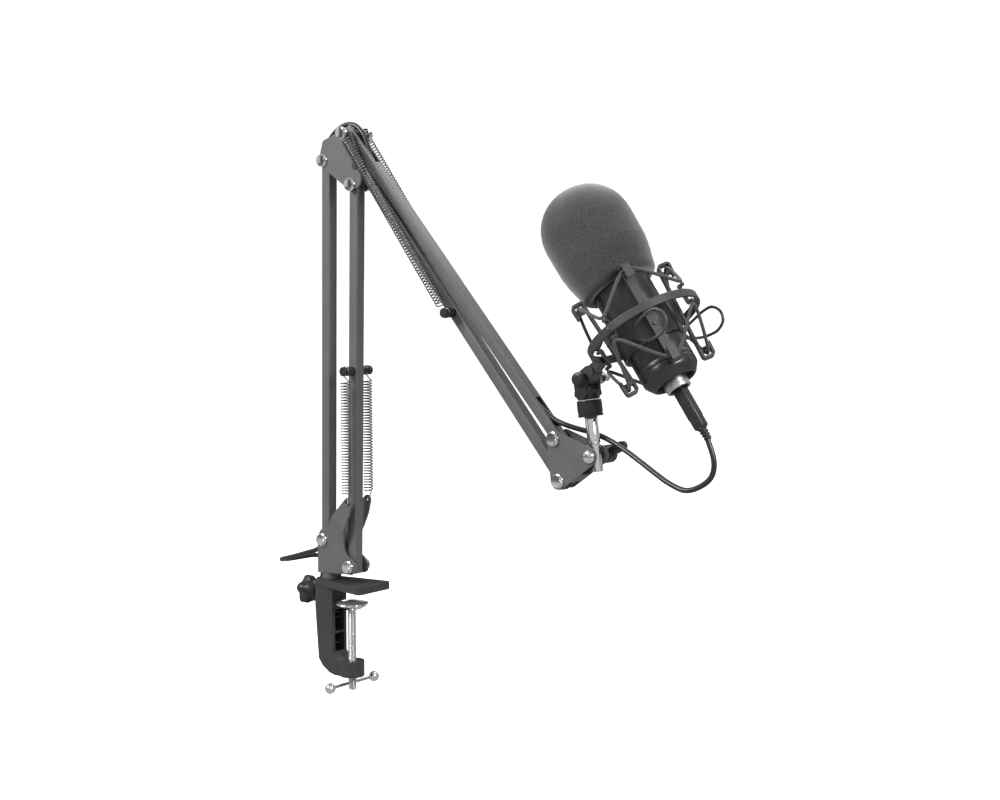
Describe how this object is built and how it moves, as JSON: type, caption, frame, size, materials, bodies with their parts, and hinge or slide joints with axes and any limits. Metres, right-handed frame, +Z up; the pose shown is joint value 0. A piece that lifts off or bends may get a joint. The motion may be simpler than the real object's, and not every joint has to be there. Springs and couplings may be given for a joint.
{
  "type": "condenser microphone on boom arm",
  "caption": "Side-address studio microphone with foam cover in a ring shock mount, on a sprung folding desk arm with a screw clamp and a USB lead.",
  "frame": {"origin": "underside of the clamp's upper jaw, on the clamp screw's axis, where the table's top surface meets the jaw", "axes": "+Z up along the clamp screw; +X the way the arm reaches; +Y to the far side of the arm"},
  "size_m": [0.4992, 0.1159, 0.5227],
  "materials": {
    "powder_coat": "satin textured powder coat",
    "cast_black": "painted casting, slightly rough",
    "chrome": "polished plating",
    "zinc": "zinc-plated thread",
    "spring_steel": "oiled spring wire",
    "plastic": "moulded, satin",
    "satin_black": "satin black coat",
    "elastic": "woven elastic cord",
    "steel_mesh": "woven wire mesh",
    "gold": "gold-sputtered diaphragm",
    "foam": "open-cell foam",
    "lead_jacket": "smooth flexible jacket"
  },
  "bodies": {
    "clamp": {"clamp_frame": "cast_black", "cord_coil": "lead_jacket", "cord_end": "lead_jacket", "usb_plug": "plastic", "cord_tail": "lead_jacket"},
    "lock_knob": {"lock_knob": "plastic"},
    "pressure_cup": {"pressure_cup": "chrome"},
    "clamp_screw": {"clamp_screw": "zinc"},
    "tommy_bar": {"tommy_bar": "chrome"},
    "turret": {"base_bracket": "powder_coat", "base_bolt_rear": "chrome", "base_bolt_front": "chrome"},
    "lower_rear_link": {"lower_rear_tube": "powder_coat", "cord_lower_arm": "lead_jacket", "cord_elbow": "lead_jacket"},
    "lower_front_link": {"lower_front_tube": "powder_coat", "lower_spring_pin": "plastic", "lower_spring_near": "spring_steel", "lower_spring_far": "spring_steel"},
    "elbow": {"elbow_plate_near": "powder_coat", "elbow_plate_far": "powder_coat", "elbow_bolt_rear": "chrome", "elbow_bolt_front": "chrome", "elbow_pivot_pin": "powder_coat", "elbow_spring_bolt": "chrome"},
    "upper_top_link": {"upper_top_tube": "powder_coat", "cord_upper_arm": "lead_jacket"},
    "upper_bottom_link": {"upper_bottom_tube": "powder_coat", "upper_spring_pin": "plastic", "upper_spring_near": "spring_steel", "upper_spring_far": "spring_steel"},
    "head": {"head_bracket": "powder_coat", "head_bolt_upper": "chrome", "head_bolt_lower": "chrome"},
    "mount_stud": {"mount_stud": "chrome", "cord_loop": "lead_jacket"},
    "wing_knob": {"wing_knob": "plastic"},
    "socket": {"socket_collar": "plastic", "yoke": "plastic"},
    "thumb_screw": {"thumb_screw": "plastic"},
    "ring": {"outer_ring": "satin_black", "ring_hook_1": "satin_black", "ring_hook_2": "satin_black", "ring_hook_3": "satin_black", "ring_hook_4": "satin_black", "elastic_upper": "elastic", "elastic_lower": "elastic"},
    "cage": {"cage_frame_1": "satin_black", "cage_frame_2": "satin_black", "cage_frame_3": "satin_black", "cage_frame_4": "satin_black", "cage_jaw_near": "satin_black", "cage_jaw_far": "satin_black", "mic_body": "satin_black", "end_bell": "satin_black", "mic_grille": "steel_mesh", "mic_capsule": "gold", "usb_socket": "zinc", "mic_plug": "plastic"},
    "foam_cover": {"foam_cover": "foam"}
  },
  "joints": [
    {"name": "lock_knob_turn", "type": "hinge", "parent": "clamp", "child": "lock_knob", "pos_m": [-0.06, 0, -0.008], "axis": [1, 0, 0], "continuous": true},
    {"name": "screw_travel", "type": "slide", "parent": "clamp", "child": "pressure_cup", "axis": [0, 0, 1], "range_m": [-0.042, 0.0012]},
    {"name": "screw_turn", "type": "hinge", "parent": "pressure_cup", "child": "clamp_screw", "pos_m": [0, 0, -0.05], "axis": [0, 0, 1], "range_deg": [-12116, 365.6]},
    {"name": "tommy_bar_slide", "type": "slide", "parent": "clamp_screw", "child": "tommy_bar", "axis": [0, 1, 0], "range_m": [-0.019, 0.019]},
    {"name": "turret_swivel", "type": "hinge", "parent": "clamp", "child": "turret", "pos_m": [-0.0255, 0, 0], "axis": [0, 0, 1], "range_deg": [-90, 90], "deforming": ["cord_tail"]},
    {"name": "lower_arm", "type": "hinge", "parent": "turret", "child": "lower_rear_link", "pos_m": [-0.0287, 0, 0.0437], "axis": [0, 1, 0], "range_deg": [-25, 55], "deforming": ["cord_tail", "cord_elbow"]},
    {"name": "lower_arm_front", "type": "hinge", "parent": "turret", "child": "lower_front_link", "pos_m": [0.0047, 0, 0.0213], "axis": [0, 1, 0], "range_deg": [-25.6, 55.6], "deforming": ["lower_spring_near", "lower_spring_far"]},
    {"name": "elbow_follow", "type": "hinge", "parent": "lower_rear_link", "child": "elbow", "pos_m": [-0.024, 0, 0.3936], "axis": [0, 1, 0], "range_deg": [-53.66, 24.72], "deforming": ["cord_elbow"]},
    {"name": "upper_arm", "type": "hinge", "parent": "elbow", "child": "upper_top_link", "pos_m": [0.0063, 0, 0.4167], "axis": [0, -1, 0], "range_deg": [-1, 60], "deforming": ["cord_elbow", "cord_loop", "upper_spring_near", "upper_spring_far"]},
    {"name": "upper_arm_bottom", "type": "hinge", "parent": "elbow", "child": "upper_bottom_link", "pos_m": [0.0174, 0, 0.3876], "axis": [0, -1, 0], "range_deg": [-1.61, 61.44], "deforming": ["upper_spring_near", "upper_spring_far"]},
    {"name": "head_follow", "type": "hinge", "parent": "upper_top_link", "child": "head", "pos_m": [0.2396, 0, 0.1559], "axis": [0, -1, 0], "range_deg": [-47.8, 1.39], "deforming": ["cord_loop"]},
    {"name": "stud_tilt", "type": "hinge", "parent": "head", "child": "mount_stud", "pos_m": [0.276, 0, 0.144], "axis": [0, 1, 0], "range_deg": [-10, 60], "deforming": ["cord_loop"]},
    {"name": "wing_knob_turn", "type": "hinge", "parent": "mount_stud", "child": "wing_knob", "pos_m": [0.276, 0, 0.144], "axis": [0, 1, 0], "continuous": true},
    {"name": "socket_turn", "type": "hinge", "parent": "mount_stud", "child": "socket", "pos_m": [0.26988, 0, 0.18353], "axis": [-0.153, 0, 0.9882], "range_deg": [-45, 45], "deforming": ["cord_loop"]},
    {"name": "thumb_screw_turn", "type": "hinge", "parent": "socket", "child": "thumb_screw", "pos_m": [0.2668, 0, 0.2064], "axis": [0, 1, 0], "continuous": true},
    {"name": "ring_tilt", "type": "hinge", "parent": "socket", "child": "ring", "pos_m": [0.2668, 0, 0.2064], "axis": [0, 1, 0], "range_deg": [-12, 40], "deforming": ["cord_loop"]},
    {"name": "cage_float", "type": "slide", "parent": "ring", "child": "cage", "axis": [-0.5793, 0, 0.8151], "range_m": [-0.002, 0.002], "stiffness_N_per_m": 2500, "deforming": ["elastic_upper", "elastic_lower", "cord_loop"]},
    {"name": "foam_cover_pull", "type": "slide", "parent": "cage", "child": "foam_cover", "axis": [-0.5793, 0, 0.8151], "range_m": [0, 0.1]}
  ],
  "couplings": [
    {"joint": "screw_turn", "follows": "screw_travel", "rad_per_m": 5026.5},
    {"joint": "lower_arm_front", "follows": "lower_arm", "ratio": 1},
    {"joint": "elbow_follow", "follows": "lower_arm", "ratio": -0.9648},
    {"joint": "upper_arm_bottom", "follows": "upper_arm", "ratio": 1.014},
    {"joint": "head_follow", "follows": "upper_arm", "ratio": -0.7866}
  ]
}
